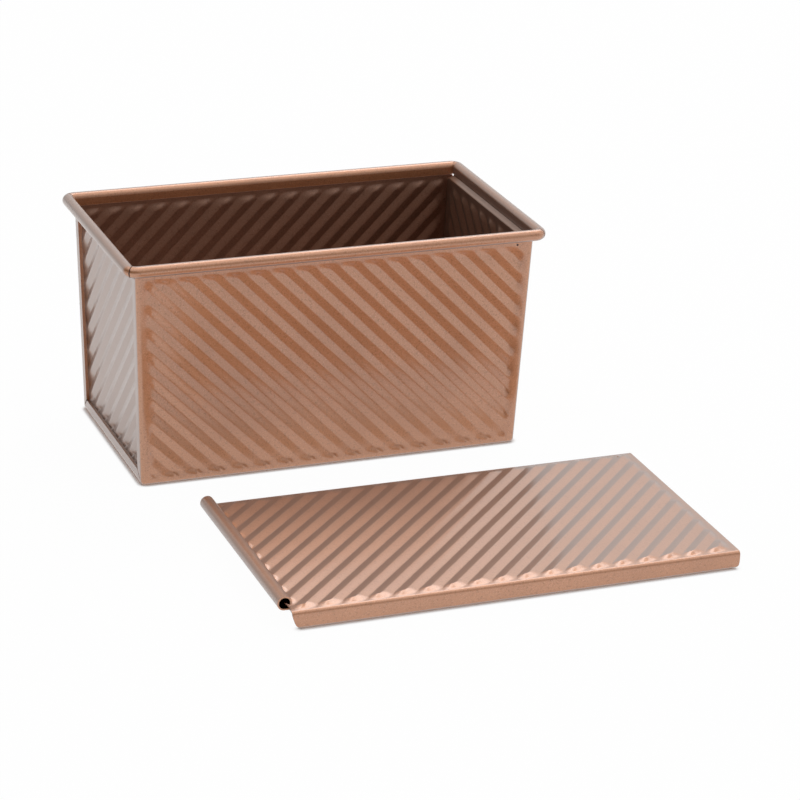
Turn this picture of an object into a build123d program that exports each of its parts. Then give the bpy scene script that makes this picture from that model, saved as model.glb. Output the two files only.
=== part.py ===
from build123d import *
import os
from math import atan, atan2, ceil, cos, degrees, floor, radians, sin, tan

# Pullman loaf pan: an open tapered box of corrugated steel sheet with a wired rim,
# and its lid, which slides along the rim and is shown taken off, flat in front of the pan.
# Origin: centre of the pan's underside. +X along the pan, +Y to its back, +Z up.

# Sheet metal
sheet = 0.7
bend_radius = 1.9
overrun = 3.0

# Rim wire and the curl of sheet around it
wire_diameter = 4.0
wire_play = 0.1
rim_corner_radius = 3.75
rim_corner_steps = 2
curl_turn = 300.0
mitre_gap = 0.6

# Pan, outside sizes
rim_length = 213.0
rim_width = 117.7
pan_height = 113.15
base_length = 193.2
base_width = 103.0
top_length = 201.2
rim_leg = 3.35

# Folded seam between the body sheet and each end panel
flange_width = 6.3
flange_top_drop = 5.45
flange_top_rise = 0.5
flange_slit_width = 0.5
flange_slit_length = 4.6
hem_width = 4.6
hem_gap = 0.1
hem_top_drop = 6.1
hem_round = 0.62
seam_gap = 0.1
panel_edge_gap = 0.4
joggle_start_drop = 5.9
joggle_rise = 1.4
joggle_straight = 0.8
joggle_radius = 0.8
leg_gap = 0.3
strip_end_gap = 0.3

# Diagonal corrugation in straight flanks, pressed from one face of the sheet
body_pitch = 8.2
end_pitch = 8.44
lid_pitch = 8.28
ridge_depth = 1.2
ridge_drop = 0.08
ridge_end_slope = 45.0
side_border = 4.6
side_border_low = 3.6
side_border_top = 5.95
floor_border_long = 5.0
floor_border_end = 6.0
panel_border = 0.3
panel_border_top = 2.4
lid_border_side = 2.8
lid_border_right = 3.6
lid_border_roll = 0.4

# Where a groove's middle passes each panel's reference point, as a share of the pitch
front_phase_share = 0.425
back_phase_share = 0.815
floor_phase_share = 0.135
end_phase_share = 0.0
lid_phase_share = 0.91

# Lid, outside sizes, and where it lies
lid_length = 216.1
lid_side_clearance = 0.29
lid_height = 8.5
lid_bend_radius = 1.75
lid_lip_width = 4.6
lid_end_slant = 2.2
lid_corner_radius = 3.0
lid_roll_diameter = 6.6
lid_roll_turn = 290.0
lid_roll_reach = 2.2
lid_roll_inset = 4.5
lid_centre_x = 30.25
lid_front_gap = 38.4

# Small hanging holes
hole_diameter = 1.1
pan_hole_from_end = 8.7
pan_hole_drop = 4.95
lid_hole_from_end = 8.9
lid_hole_from_edge = 5.4

# Worked-out sizes
curl_inner = wire_diameter / 2 + wire_play
curl_outer = curl_inner + sheet
rim_x = rim_length / 2 - curl_outer
rim_y = rim_width / 2 - curl_outer
rim_z = pan_height - curl_outer
wall_top = rim_z - rim_leg
flange_top = rim_z - flange_top_drop
hem_top = rim_z - hem_top_drop
end_lean = atan((top_length - base_length) / 2 / rim_z)
side_lean = atan((rim_y - curl_inner - base_width / 2) / rim_z)
ridge_angle = radians(45.0)
mitre_angle = radians(45.0)
lid_width = rim_width + 2 * (sheet + lid_side_clearance)
lid_centre_y = -rim_width / 2 - lid_front_gap - lid_width / 2
lid_left = lid_centre_x - lid_length / 2
lid_right = lid_centre_x + lid_length / 2
roll_x = lid_left - lid_roll_reach
roll_radius = lid_roll_diameter / 2
roll_z = lid_height - sheet + roll_radius


def half_length(z):
    """Half the pan's outside length at height z."""
    return base_length / 2 + z * tan(end_lean)


def half_width(z):
    """Half the pan's outside width at height z."""
    return base_width / 2 + z * tan(side_lean)


def inner_half_length(z):
    """Half the length between the end flanges' inner faces at height z."""
    return half_length(z) - sheet / cos(end_lean)


def inner_half_width(z):
    """Half the width between the side walls' inner faces at height z."""
    return half_width(z) - sheet / cos(side_lean)


def trapezium(low, half_at):
    """Corners of an upright section from height low to the top of the walls."""
    side = [(half_at(low), low), (half_at(wall_top), wall_top)]
    return side + [(-x, z) for x, z in reversed(side)]


def tapered_tub(low, length_at, width_at, fold_radius):
    """Solid from height low to the top of the walls, with its lower and upright folds rounded."""
    with BuildPart() as tub:
        with BuildSketch(Plane.XZ):
            Polygon(*trapezium(low, length_at), align=None)
        extrude(amount=rim_width, both=True)
        with BuildSketch(Plane.YZ):
            Polygon(*trapezium(low, width_at), align=None)
        extrude(amount=rim_length, both=True, mode=Mode.INTERSECT)
        folds = tub.edges().group_by(Axis.Z)
        fillet(folds[0] + folds[1], radius=fold_radius)
    return tub.part


def wall_plane(origin, inward, up):
    """Plane on a wall's outer face: z into the pan, y up the wall."""
    return Plane(origin=origin, x_dir=Vector(*up).cross(Vector(*inward)), z_dir=inward)


def wave_points(start, count, pitch, gap):
    """One side of the pressed sheet, in a profile plane: x across the ridges, y the pressing depth.

    The sheet runs in straight flanks between the middles of the lands and of the grooves. Gap moves
    the flanks along their normals, which gives the sheet's other side.
    """
    land = ridge_drop + gap / cos(atan(2 * ridge_depth / pitch))
    middles = [start + k * pitch for k in range(count)]
    pairs = [[(x, land + ridge_depth), (x + pitch / 2, land)] for x in middles]
    return sum(pairs, [])


def wave_solid(face, outline, rise, pitch, phase_share, level, gap, grow):
    """The ridges' space between a flat level and one side of the sheet, inside a sloped frame."""
    across = [y * cos(ridge_angle) - rise * x * sin(ridge_angle) for x, y in outline]
    along = [abs(x * cos(ridge_angle) + rise * y * sin(ridge_angle)) for x, y in outline]
    first_groove = floor(min(across) / pitch) - 1
    count = ceil(max(across) / pitch) + 2 - first_groove
    start = (first_groove + phase_share) * pitch
    direction = face.y_dir * cos(ridge_angle) - face.x_dir * (rise * sin(ridge_angle))
    profile_plane = Plane(origin=face.origin, x_dir=direction, z_dir=direction.cross(face.z_dir))
    with BuildPart() as space:
        with BuildSketch(profile_plane):
            points = wave_points(start, count, pitch, gap)
            Polygon(*points, (points[-1][0], level), (points[0][0], level), align=None)
        extrude(amount=max(along) + pitch, both=True)
        with BuildSketch(face.offset(level)):
            Polygon(*outline, align=None)
            offset(amount=grow - level * tan(radians(ridge_end_slope)), kind=Kind.INTERSECTION)
        extrude(
            amount=gap + ridge_drop + ridge_depth + overrun - level,
            taper=ridge_end_slope,
            mode=Mode.INTERSECT,
        )
    return space.part


def pressed_field(face, outline, rise, pitch, phase_share):
    """The hollow pressed into a face of the sheet, and the swelling that it makes on the other.

    Rise is 1 where the ridges climb along the face's x direction, and -1 where they fall.
    """
    grow = sheet / cos(radians(ridge_end_slope))
    hollow = wave_solid(face, outline, rise, pitch, phase_share, -overrun / 2, 0, 0)
    swelling = wave_solid(face, outline, rise, pitch, phase_share, sheet / 2, sheet, grow)
    return hollow, swelling


def rim_corner(centre, steps):
    """Points around a rim corner, in straight steps that touch its arc, from the end of a straight run."""
    turn = mitre_angle / rim_corner_steps
    reach = rim_corner_radius / cos(turn / 2)
    turns = [(k + 1 / 2) * turn for k in range(steps)]
    return [centre + Vector(reach * sin(turn), -reach * cos(turn)) for turn in turns]


def rim_curl(heading, half_run, standoff, leg, leg_inset):
    """Curl of sheet around the rim wire along one side and half of the corner at each end of it."""
    ring_plane = Plane(origin=(0, 0, rim_z), x_dir=heading, z_dir=(0, 0, 1))
    centre = Vector(half_run, rim_corner_radius - standoff)
    mitre = centre + Vector(0, -rim_corner_radius).rotate(Axis.Z, degrees(mitre_angle))
    half_path = rim_corner(centre, rim_corner_steps) + [mitre]
    with BuildPart() as curl:
        with BuildLine(ring_plane) as run:
            Polyline(*[(p.X, p.Y) for p in reversed(half_path)], *[(-p.X, p.Y) for p in half_path])
        heading_at_start = run.line % 0
        outward = Vector(0, 0, 1).cross(heading_at_start)
        with BuildSketch(Plane(origin=run.line @ 0, x_dir=outward, z_dir=heading_at_start)):
            with BuildLine():
                Line((leg_inset - curl_inner, -leg), (-curl_inner, 0))
                CenterArc((0, 0), curl_inner, 180, -curl_turn)
                tip = 180 - curl_turn
                Line(
                    (curl_inner * cos(radians(tip)), curl_inner * sin(radians(tip))),
                    (curl_outer * cos(radians(tip)), curl_outer * sin(radians(tip))),
                )
                CenterArc((0, 0), curl_outer, tip, curl_turn)
                Polyline((-curl_outer, 0), (leg_inset - curl_outer, -leg), (leg_inset - curl_inner, -leg))
            make_face()
        sweep(transition=Transition.RIGHT)
    return curl.part


# Reference planes of the pan's faces, each looking into the pan
front_face = wall_plane(
    (0, -half_width(0), 0), (0, cos(side_lean), sin(side_lean)), (0, -sin(side_lean), cos(side_lean))
)
back_face = wall_plane(
    (0, half_width(0), 0), (0, -cos(side_lean), sin(side_lean)), (0, sin(side_lean), cos(side_lean))
)
end_face = wall_plane(
    (half_length(0), 0, 0), (-cos(end_lean), 0, sin(end_lean)), (sin(end_lean), 0, cos(end_lean))
)

# Corrugated fields of the body sheet
side_low = side_border_low
side_high = rim_z - side_border_top
side_outline = [
    (half_length(side_low) - side_border, side_low / cos(side_lean)),
    (half_length(side_high) - side_border, side_high / cos(side_lean)),
    (side_border - half_length(side_high), side_high / cos(side_lean)),
    (side_border - half_length(side_low), side_low / cos(side_lean)),
]
floor_x = base_length / 2 - floor_border_end
floor_y = base_width / 2 - floor_border_long
floor_outline = [(floor_x, -floor_y), (floor_x, floor_y), (-floor_x, floor_y), (-floor_x, -floor_y)]
body_fields = [
    pressed_field(front_face, side_outline, 1, body_pitch, front_phase_share),
    pressed_field(back_face, side_outline, 1, body_pitch, back_phase_share),
    pressed_field(Plane.XY, floor_outline, 1, body_pitch, floor_phase_share),
]

# Body: front wall, floor and back wall in one sheet, with its ends folded in as flanges
with BuildPart() as mitre_slits:
    with BuildSketch(Plane.XY.offset(wall_top)):
        for x_side, y_side in [(1, 1), (-1, 1), (-1, -1), (1, -1)]:
            with Locations((x_side * (rim_x - rim_corner_radius), y_side * (rim_y - rim_corner_radius))):
                Rectangle(
                    rim_corner_radius + curl_outer + overrun,
                    mitre_gap,
                    rotation=degrees(atan2(y_side, x_side)),
                    align=(Align.MIN, Align.CENTER),
                )
    extrude(amount=pan_height)
side_curls = [
    rim_curl(heading, rim_x - rim_corner_radius, rim_y, rim_leg, rim_leg * -tan(side_lean))
    for heading in [(1, 0, 0), (-1, 0, 0)]
]
with BuildPart() as pan_body:
    add(tapered_tub(0, half_length, half_width, bend_radius))
    add(tapered_tub(sheet, inner_half_length, inner_half_width, bend_radius - sheet), mode=Mode.SUBTRACT)
    # Window in each end, which leaves the flanges
    with BuildSketch(Plane.YZ):
        window = [
            (half_width(flange_width) - flange_width, flange_width),
            (half_width(flange_top) - flange_width, flange_top),
            (half_width(flange_top) - bend_radius, flange_top + flange_top_rise),
            (half_width(wall_top) - bend_radius, wall_top + overrun),
        ]
        Polygon(*window, *[(-y, z) for y, z in reversed(window)], align=None)
    extrude(amount=rim_length, both=True, mode=Mode.SUBTRACT)
    # Mitre slits at the flanges' lower corners
    slit_y = half_width(flange_width) - flange_width
    for end in (-1, 1):
        with BuildSketch(Plane.YZ.offset(end * (base_length / 2 - bend_radius))):
            for side in (-1, 1):
                with Locations((side * slit_y, flange_width)):
                    Rectangle(flange_slit_length * 2, flange_slit_width, rotation=-45 * side)
        extrude(amount=end * (bend_radius + overrun), mode=Mode.SUBTRACT)
    for curl in side_curls:
        add(curl)
    add(mitre_slits, mode=Mode.SUBTRACT)
    for hollow, swelling in body_fields:
        add(swelling)
        add(hollow, mode=Mode.SUBTRACT)
    with BuildSketch(Plane.XZ):
        with Locations((half_length(rim_z) - pan_hole_from_end, rim_z - pan_hole_drop)):
            Circle(hole_diameter / 2)
    extrude(amount=rim_width, mode=Mode.SUBTRACT)

# End panel: flat sheet with hemmed edges, which seats inside the flanges and carries its share of the rim
hem_depth = sheet + seam_gap
plate_depth = hem_depth + sheet + hem_gap
plate_top = (rim_z - joggle_start_drop - (plate_depth + sheet / 2) * sin(end_lean)) / cos(end_lean)
plate_low = (sheet + panel_edge_gap) / cos(end_lean)
hem_top_up = hem_top / cos(end_lean)


def panel_edge(up):
    """Half the end panel's width at a distance up its plane."""
    return inner_half_width(up * cos(end_lean)) - panel_edge_gap


def panel_outline(inset, low, top):
    """Corners of the end panel's outline, drawn in by an inset at its sides."""
    return [
        (panel_edge(low) - inset, low),
        (panel_edge(top) - inset, top),
        (inset - panel_edge(top), top),
        (inset - panel_edge(low), low),
    ]


field_inset = hem_width + panel_border
field_outline = panel_outline(field_inset, plate_low + field_inset, plate_top - panel_border_top)
panel_field = pressed_field(end_face.offset(plate_depth), field_outline, -1, end_pitch, end_phase_share)
with BuildPart() as end_panel_right:
    with BuildSketch(end_face.offset(hem_depth)):
        Polygon(*panel_outline(0, plate_low, plate_top), align=None)
    extrude(amount=2 * sheet + hem_gap)
    top_face = end_panel_right.faces().sort_by(Axis.Z)[-1]
    folded_edges = end_panel_right.edges().filter_by(lambda edge: edge.length > hem_width)
    fillet(folded_edges - top_face.edges(), radius=hem_round)
    # Inside the hem's free edge the sheet is single, and the hem stops below the rim
    with BuildSketch(end_face.offset(hem_depth - overrun)):
        Polygon(*panel_outline(hem_width, plate_low + hem_width, plate_top + overrun), align=None)
        with Locations((0, hem_top_up)):
            Rectangle(rim_width, overrun + plate_top, align=(Align.CENTER, Align.MIN))
    extrude(amount=overrun + sheet + hem_gap, mode=Mode.SUBTRACT)
    with BuildSketch(end_face.offset(hem_depth + sheet)):
        Polygon(*panel_outline(sheet, plate_low + sheet, plate_top + overrun), align=None)
    extrude(amount=hem_gap, mode=Mode.SUBTRACT)
    # Joggle, which carries the sheet out over the flange's end to the rim
    plate_middle = end_face.offset(plate_depth + sheet / 2).from_local_coords((0, plate_top, 0))
    leg_x = rim_x - curl_inner - sheet / 2
    leg_z = wall_top + leg_gap
    rise_start = plate_middle + end_face.y_dir * joggle_straight
    with BuildSketch(Plane.XZ):
        with BuildLine() as joggle:
            FilletPolyline(
                (plate_middle.X, plate_middle.Z),
                (rise_start.X, rise_start.Z),
                (leg_x, rise_start.Z + joggle_rise),
                (leg_x, leg_z),
                radius=joggle_radius,
            )
        trace(joggle.edges(), line_width=sheet)
    extrude(amount=half_width(flange_top) - bend_radius - strip_end_gap, both=True)
    add(rim_curl((0, 1, 0), rim_y - rim_corner_radius, rim_x, rim_z - leg_z, 0))
    add(mitre_slits, mode=Mode.SUBTRACT)
    add(panel_field[1])
    add(panel_field[0], mode=Mode.SUBTRACT)
with BuildPart() as end_panel_left:
    add(end_panel_right.part.rotate(Axis.Z, 180))

# Rim wire: one bent ring inside all the curls
with BuildPart() as rim_wire:
    corner = rim_corner(Vector(rim_x - rim_corner_radius, rim_corner_radius - rim_y), 2 * rim_corner_steps)
    with BuildLine(Plane.XY.offset(rim_z)) as quarter:
        Polyline((0, -rim_y), *[(p.X, p.Y) for p in corner], (rim_x, 0))
    with BuildSketch(Plane(origin=quarter.line @ 0, z_dir=quarter.line % 0)):
        Circle(wire_diameter / 2)
    sweep(transition=Transition.RIGHT)
    mirror(about=Plane.XZ)
    mirror(about=Plane.YZ)

# Lid: corrugated sheet with a C-shaped rail along each long side and a roll across its left end
lid_side = Plane.XZ.offset(-lid_centre_y)
field_right = lid_length / 2 - lid_border_right
field_left = roll_x + roll_radius + lid_border_roll - lid_centre_x
field_side = lid_width / 2 - lid_border_side
lid_field = pressed_field(
    Plane(origin=(lid_centre_x, lid_centre_y, lid_height - sheet)),
    [
        (field_right, -field_side),
        (field_right, field_side),
        (field_left, field_side),
        (field_left, -field_side),
    ],
    1,
    lid_pitch,
    lid_phase_share,
)
with BuildPart() as lid:
    with BuildSketch(Plane.YZ.offset(lid_left)):
        half = lid_width / 2 - sheet / 2
        with BuildLine() as section:
            FilletPolyline(
                (lid_centre_y - lid_width / 2 + lid_lip_width, sheet / 2),
                (lid_centre_y - half, sheet / 2),
                (lid_centre_y - half, lid_height - sheet / 2),
                (lid_centre_y + half, lid_height - sheet / 2),
                (lid_centre_y + half, sheet / 2),
                (lid_centre_y + lid_width / 2 - lid_lip_width, sheet / 2),
                radius=lid_bend_radius - sheet / 2,
            )
        trace(section.edges(), line_width=sheet)
    extrude(amount=lid_length)
    # The rails' ends are cut slanting at the left, with rounded lower corners at both
    with BuildSketch(lid_side) as rail_side:
        Polygon(
            (lid_left + lid_end_slant, 0),
            (lid_right, 0),
            (lid_right, lid_height + overrun),
            (lid_left, lid_height + overrun),
            (lid_left, lid_height - lid_bend_radius),
            align=None,
        )
        fillet(rail_side.vertices().group_by(Axis.Y)[0], radius=lid_corner_radius)
    extrude(amount=lid_width, both=True, mode=Mode.INTERSECT)
    # Roll, curled up from the sheet and open at its free edge
    roll_bore = roll_radius - sheet
    tip = radians(-90 - lid_roll_turn)
    with BuildSketch(lid_side):
        with BuildLine():
            Polyline(
                (roll_x, lid_height),
                (lid_left, lid_height),
                (lid_left, lid_height - sheet),
                (roll_x, lid_height - sheet),
            )
            CenterArc((roll_x, roll_z), roll_radius, -90, -lid_roll_turn)
            Line(
                (roll_x + roll_radius * cos(tip), roll_z + roll_radius * sin(tip)),
                (roll_x + roll_bore * cos(tip), roll_z + roll_bore * sin(tip)),
            )
            CenterArc((roll_x, roll_z), roll_bore, -90 - lid_roll_turn, lid_roll_turn)
        make_face()
    extrude(amount=lid_width / 2 - lid_roll_inset, both=True)
    add(lid_field[1])
    add(lid_field[0], mode=Mode.SUBTRACT)
    with BuildSketch():
        hole_y = lid_centre_y + lid_width / 2 - lid_hole_from_edge
        with Locations((lid_right - lid_hole_from_end, hole_y)):
            Circle(hole_diameter / 2)
    extrude(amount=lid_height + overrun, mode=Mode.SUBTRACT)

os.makedirs("parts", exist_ok=True)
pieces = {
    "pan_body": pan_body,
    "end_panel_right": end_panel_right,
    "end_panel_left": end_panel_left,
    "rim_wire": rim_wire,
    "lid": lid,
}
for name, piece in pieces.items():
    piece.part.label = name
    export_step(piece.part, f"parts/{name}.step")
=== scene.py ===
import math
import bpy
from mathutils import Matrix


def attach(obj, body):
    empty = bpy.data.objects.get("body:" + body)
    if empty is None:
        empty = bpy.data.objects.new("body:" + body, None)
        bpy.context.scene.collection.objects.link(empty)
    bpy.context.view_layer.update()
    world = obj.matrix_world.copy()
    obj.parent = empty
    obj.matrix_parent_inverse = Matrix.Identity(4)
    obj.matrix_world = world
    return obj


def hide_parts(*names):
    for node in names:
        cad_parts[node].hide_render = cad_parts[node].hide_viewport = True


bl_info = {
    "name": "Pullman loaf pan",
    "version": (1, 0, 0),
    "blender": (4, 5, 0),
    "location": "3D Viewport > Sidebar > Loaf Pan",
    "description": "Builds the pressed sheets of a loaf pan and its lid around the packed CAD model",
    "category": "Object",
}

from functools import partial

import bpy
import numpy as np
from mathutils import Matrix

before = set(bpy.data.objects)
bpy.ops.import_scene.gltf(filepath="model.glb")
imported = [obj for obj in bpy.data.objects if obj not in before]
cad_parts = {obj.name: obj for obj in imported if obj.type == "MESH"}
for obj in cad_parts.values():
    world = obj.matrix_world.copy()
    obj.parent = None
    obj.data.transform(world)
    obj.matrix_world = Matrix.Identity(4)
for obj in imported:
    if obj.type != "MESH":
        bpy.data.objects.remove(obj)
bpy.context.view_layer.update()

# Steps along the small bends, the curls, half a rim corner, the roll, a flange and a plain border
BEND_STEPS = 6
CURL_STEPS = 30
CORNER_STEPS = 8
ROLL_STEPS = 40
FLANGE_STEPS = 3
BORDER_STEPS = 4

# Points across the lid's lips and up its rails, and round a drilled hole
LIP_POINTS = 3
RAIL_POINTS = 4
HOLE_POINTS = 24

# Grid points across one ridge, the share of the pitch that its roundings take to either side of
# a crest, and the shift of the points there
RIDGE_POINTS = 8
CREST_SHARE = 0.045

# Grid steps that the plain borders at a row's ends take from its even core
BODY_MARGIN = 4
PANEL_MARGIN = 2
LID_MARGIN = 5

# Points nearer than this are one point
WELD = 2e-7
SHARP_ANGLE = math.radians(38)

# The coating's shares of metal and clear coat, the coat's roughness, and the noise scales of its
# flakes, spots and clouds and of the wire's streaks, per metre
METALLIC = 0.9
COAT_WEIGHT = 1.0
COAT_ROUGHNESS = 0.2
FLAKES = 2200.0
SPOTS = 900.0
CLOUDS = 28.0
STREAKS = 1500.0

# Camera of the photograph: place, lens and the directions of its picture
CAMERA_PLACE = (-0.47109, -1.31260, 0.58480)
CAMERA_YAW = math.radians(21.848)
CAMERA_PITCH = math.radians(22.226)
CAMERA_ROLL = math.radians(2.210)
CAMERA_LENS = 135.13
CAMERA_SENSOR = 36.0

# Middles of the brighter surroundings, as turns from +Y to +X
BEHIND = math.radians(15)
BESIDE = math.radians(105)

# Where light from a side and from overhead starts and is full, as the cosine to its middle, and
# where the floor turns from shadow to white, as the share of sky that it sees close by
SIDE_LIMITS = (0.2, 0.75)
OVERHEAD_LIMITS = (0.45, 0.85)
CONTACT_LIMITS = (0.55, 0.95)


def setting(name, description, default, **more):
    """A number that a user would change."""
    return bpy.props.FloatProperty(name=name, description=description, default=default, **more)


length = partial(setting, unit="LENGTH", precision=5)
share = partial(setting, min=0, max=1, subtype="FACTOR")
angle = partial(setting, subtype="ANGLE")
power = partial(setting, min=0, subtype="POWER")


def colour(name, description, default):
    """A colour, given as a linear triple."""
    return bpy.props.FloatVectorProperty(
        name=name, description=description, default=default, size=3, min=0, max=1, subtype="COLOR"
    )


class LoafPanSizes(bpy.types.PropertyGroup):
    """Sizes of the pan, the same as the CAD model's."""

    sheet: length("Sheet", "Thickness of the steel sheet", 0.0007)
    fold: length("Fold radius", "Outer radius of the folds", 0.0019)
    rim_length: length("Rim length", "Length over the rolled rim", 0.213)
    rim_width: length("Rim width", "Width over the rolled rim", 0.1177)
    height: length("Height", "Height of the pan", 0.11315)
    base_length: length("Base length", "Length of the underside", 0.1932)
    base_width: length("Base width", "Width of the underside", 0.103)
    top_length: length("Top length", "Length of the body at the rim wire's height", 0.2012)
    curl_inner: length("Curl bore", "Inner radius of the curl round the rim wire", 0.0021)
    curl_turn: angle("Curl turn", "How far the sheet curls round the wire", math.radians(300))
    corner: length("Rim corner", "Radius of the wire's line at the rim's corners", 0.00375)
    mitre_gap: length("Mitre gap", "Slit between two curls at a rim corner", 0.0006)
    leg: length("Leg", "Height from the wall's top to the middle of the wire", 0.00335)
    flange: length("Flange", "Width of the flanges over the end panels", 0.0063)
    flange_drop: length("Flange drop", "Distance of the flanges' tops below the wire's middle", 0.00545)
    flange_rise: length("Flange rise", "Slant of the flanges' tops", 0.0005)
    slit: length("Corner slit", "Half the gap of the flanges' mitres", 0.00035)
    hem: length("Hem", "Width of the end panels' hems", 0.0046)
    hem_drop: length("Hem drop", "Distance of the hems' tops below the wire's middle", 0.0061)
    hem_front: length("Hem depth", "Depth of the hem's face behind the flange's", 0.0008)
    plate_depth: length("Plate depth", "Depth of the end panel's outer face behind the flange's", 0.0016)
    panel_gap: length("Panel gap", "Gap between an end panel and the walls", 0.0004)
    joggle_drop: length("Joggle drop", "Where the end panel starts to step out, below the wire", 0.0059)
    joggle_straight: length("Joggle straight", "Straight start of the step", 0.0008)
    joggle_rise: length("Joggle rise", "Height of the step", 0.0014)
    joggle_gap: length("Joggle gap", "Gap between the body's top and the step's top", 0.0003)
    hole: length("Hole", "Diameter of the hanging hole", 0.0011)
    hole_from_end: length("Hole from end", "Distance of the hole from the body's end", 0.0087)
    hole_drop: length("Hole drop", "Distance of the hole below the wire's middle", 0.00495)


class LoafPanRidges(bpy.types.PropertyGroup):
    """Sizes and places of the pressed ridges, the same as the CAD model's."""

    body_pitch: length("Body pitch", "Distance of the body's ridges, across them", 0.0082)
    end_pitch: length("End pitch", "Distance of the end panels' ridges", 0.00844)
    lid_pitch: length("Lid pitch", "Distance of the lid's ridges", 0.00828)
    depth: length("Depth", "Height of a ridge", 0.0012)
    drop: length("Drop", "Depth of the lands below the plain border", 0.00008)
    fade: length("Fade", "Length over which a ridge rises from the border", 0.0016)
    crest: length("Crest radius", "Radius of the sheet's roundings between its flanks", 0.001)
    front_phase: share("Front phase", "Place of the front wall's grooves, as a share of the pitch", 0.425)
    back_phase: share("Back phase", "Place of the back wall's grooves", 0.815)
    floor_phase: share("Floor phase", "Place of the floor's grooves", 0.135)
    end_phase: share("End phase", "Place of the end panels' grooves", 0.0)
    lid_phase: share("Lid phase", "Place of the lid's ridges", 0.91)
    side_border: length("Side border", "Plain border at the walls' ends", 0.0046)
    side_low: length("Low border", "Plain border at the walls' feet", 0.0036)
    side_top: length("Top border", "Distance of the walls' ridges below the wire", 0.00595)
    floor_long: length("Floor border", "Plain border along the floor's long sides", 0.005)
    floor_end: length("Floor end border", "Plain border at the floor's ends", 0.006)
    panel: length("Panel border", "Plain border inside the hems", 0.0003)
    panel_top: length("Panel top border", "Plain border under the end panel's step", 0.0024)
    lid_side: length("Lid border", "Plain border along the lid's rails", 0.0028)
    lid_right: length("Lid end border", "Plain border at the lid's open end", 0.0036)
    lid_roll: length("Roll border", "Plain border beside the roll", 0.0004)


class LoafPanLid(bpy.types.PropertyGroup):
    """Sizes of the lid, the same as the CAD model's."""

    length: length("Length", "Length of the lid's rails", 0.2161)
    width: length("Width", "Width over the rails", 0.11968)
    height: length("Height", "Height of the plain top", 0.0085)
    bend: length("Bend radius", "Outer radius of the rails' bends", 0.00175)
    lip: length("Lip", "Width of the turned-in lips", 0.0046)
    slant: length("End slant", "How far the rails' left ends are cut back at the foot", 0.0022)
    corner: length("Corner radius", "Radius of the rails' lower corners", 0.003)
    roll: length("Roll", "Diameter of the roll", 0.0066)
    roll_turn: angle("Roll turn", "How far the roll curls", math.radians(290))
    roll_reach: length("Roll reach", "Distance of the roll's middle beyond the lid's end", 0.0022)
    roll_inset: length("Roll inset", "How far the roll stops short of each side", 0.0045)
    centre_x: length("Place along", "Middle of the lid along X", 0.03025)
    centre_y: length("Place across", "Middle of the lid along Y", -0.15709)
    hole_from_end: length("Hole from end", "Distance of the lid's hole from its open end", 0.0089)
    hole_from_edge: length("Hole from edge", "Distance of the lid's hole from its back edge", 0.0054)


class LoafPanColours(bpy.types.PropertyGroup):
    """Colours of the coating, the wire and the stage."""

    coating: colour("Coating", "Main colour of the metallic coating", (0.63, 0.28, 0.13))
    flake: colour("Flake", "Colour of the brighter flakes in the coating", (0.80, 0.425, 0.24))
    shade: colour("Shade", "Colour of the darker spots in the coating", (0.42, 0.17, 0.07))
    # Painted sheen: the paler colour that the coating's base colour turns to at grazing angles.
    glancing_sheen: colour("Glancing", "Colour of the coating seen at a glancing angle", (0.465, 0.335, 0.28))
    # The inner faces' colours are a darker copy of the outer ones: painted shade for the inside of the
    # pan. The last is also their painted sheen at grazing angles.
    inner_coating_shaded: colour("Inner coating", "Main colour of the inner faces", (0.38, 0.20, 0.13))
    inner_flake_shaded: colour("Inner flake", "Colour of the inner faces' brighter flakes", (0.50, 0.30, 0.22))
    inner_spots_shaded: colour("Inner shade", "Colour of the inner faces' darker spots", (0.27, 0.13, 0.075))
    inner_sheen_shaded: colour("Inner glancing", "Inner faces' colour at a glancing angle", (0.30, 0.19, 0.14))
    wire: colour("Wire", "Colour of the drawn wire", (0.305, 0.296, 0.287))
    floor: colour("Floor", "Colour of the pale floor", (0.86, 0.86, 0.86))


class LoafPanLamps(bpy.types.PropertyGroup):
    """Strengths of the studio's lamps."""

    top: power("Top lamp", "Power of the soft lamp overhead", 1)
    right: power("Right lamp", "Power of the soft lamp at the right", 1)
    high: power("High lamp", "Power of the soft lamp high behind, to the right", 4)
    room: share("Room light", "Strength of the even light from all round", 0.03)
    behind: share("Light behind", "How much more light comes from behind, to the right", 0.6)
    beside: share("Light beside", "How much more light comes from the right", 0.5)
    overhead: share("Light overhead", "Strength of the light from overhead", 1.0)
    floor_seen: share("Floor white", "Share of plain white in the floor that the camera sees", 0.975)
    floor_mirrored: share("Mirrored floor", "Share of plain white in the floor's reflections", 0.62)
    contact: length("Contact shadow", "How near to the object the floor shows its own shadow", 0.003)


class Tub:
    """The pan's worked-out sizes: the rim wire's line and the lean of the walls."""

    def __init__(self, sizes):
        self.curl_outer = sizes.curl_inner + sizes.sheet
        self.rim_x = sizes.rim_length / 2 - self.curl_outer
        self.rim_y = sizes.rim_width / 2 - self.curl_outer
        self.rim_z = sizes.height - self.curl_outer
        self.wall_top = self.rim_z - sizes.leg
        self.half_base_length = sizes.base_length / 2
        self.half_base_width = sizes.base_width / 2
        self.end_lean = math.atan((sizes.top_length - sizes.base_length) / 2 / self.rim_z)
        self.side_lean = math.atan(
            (self.rim_y - sizes.curl_inner - self.half_base_width) / self.rim_z
        )

    def half_length(self, z):
        """Half the outside length at height z."""
        return self.half_base_length + z * math.tan(self.end_lean)

    def half_width(self, z):
        """Half the outside width at height z."""
        return self.half_base_width + z * math.tan(self.side_lean)


def joined(*columns):
    """Points from their coordinates, or rows from their columns, each an array or a number."""
    return np.stack(np.broadcast_arrays(*columns), -1)


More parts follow.
